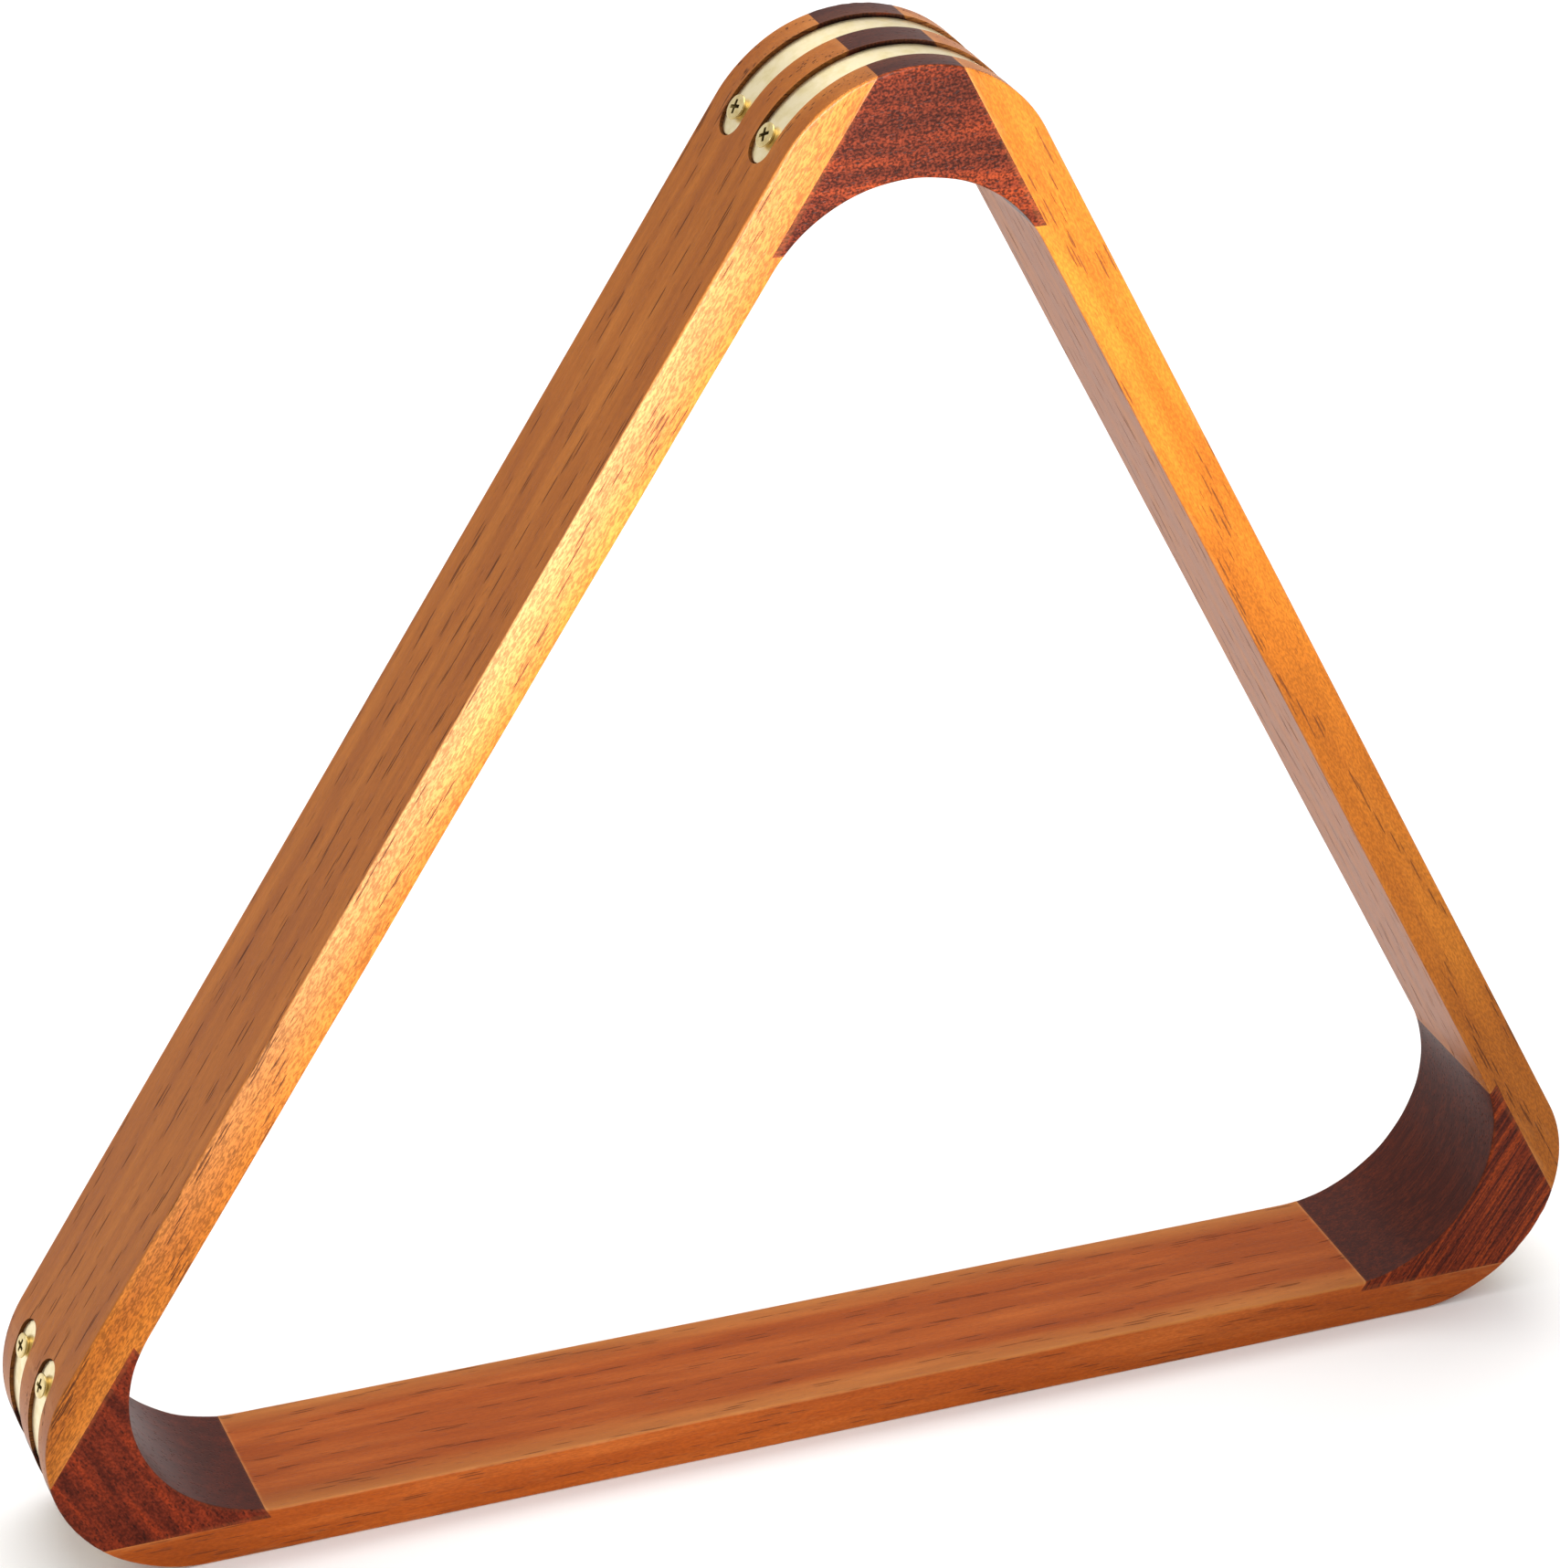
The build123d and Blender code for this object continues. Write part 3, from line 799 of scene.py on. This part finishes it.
discard(masters.values())
discard(cutter for pair in grooves.values() for cutter in pair)
discard(cutter for cutter, _ in holes.values())

# ---- stage, light and camera

print("stage")
bpy.ops.mesh.primitive_plane_add(size=12, location=(0, 0, cadLow.z))
floor = bpy.context.object
floor.name = "floor"
floorPaper, add = newMaterial("matt_white_paper")
add("OutputMaterial", {"Surface": add("BsdfPrincipled", {"Base Color": "#F6F5F4", "Roughness": 0.9})})
floor.data.materials.append(floorPaper)

world = bpy.data.worlds.new("studio")
world.use_nodes = True
world.node_tree.nodes["Background"].inputs["Color"].default_value = linear("#FFFFFF")
world.node_tree.nodes["Background"].inputs["Strength"].default_value = 0.85
bpy.context.scene.world = world

lamps = {
    "top": {"at": (0.1, 0.5, 1.8), "aim": (0, 0, 0.1), "size": 1.6, "power": 24.0, "spread": 180},
    "key": {"at": (0.06, -0.75, 0.24), "aim": (-0.055, 0, 0.215), "size": 0.20, "power": 0.85, "spread": 30},
}
for name, lamp in lamps.items():
    data = bpy.data.lights.new(name, "AREA")
    data.size = lamp["size"]
    data.energy = lamp["power"]
    data.spread = math.radians(lamp["spread"])
    light = bpy.data.objects.new(name, data)
    light.location = lamp["at"]
    light.rotation_euler = (Vector(lamp["aim"]) - Vector(lamp["at"])).to_track_quat("-Z", "Y").to_euler()
    bpy.context.scene.collection.objects.link(light)

view = {
    "right": (0.9245, -0.3786, 0.0452),
    "up": (0.1477, 0.4648, 0.8730),
    "back": (-0.3515, -0.8004, 0.4856),
    "at": (-0.3401, -0.7452, 0.5925),
    "lens": 115.2,
}
camera = bpy.data.objects.new("camera", bpy.data.cameras.new("camera"))
camera.data.sensor_width = 36
camera.data.lens = view["lens"]
camera.data.clip_start = 0.01
turnMatrix = Matrix((view["right"], view["up"], view["back"])).transposed()
camera.matrix_world = Matrix.Translation(view["at"]) @ turnMatrix.to_4x4()
bpy.context.scene.collection.objects.link(camera)
bpy.context.scene.camera = camera
bpy.context.scene.view_settings.view_transform = "Standard"
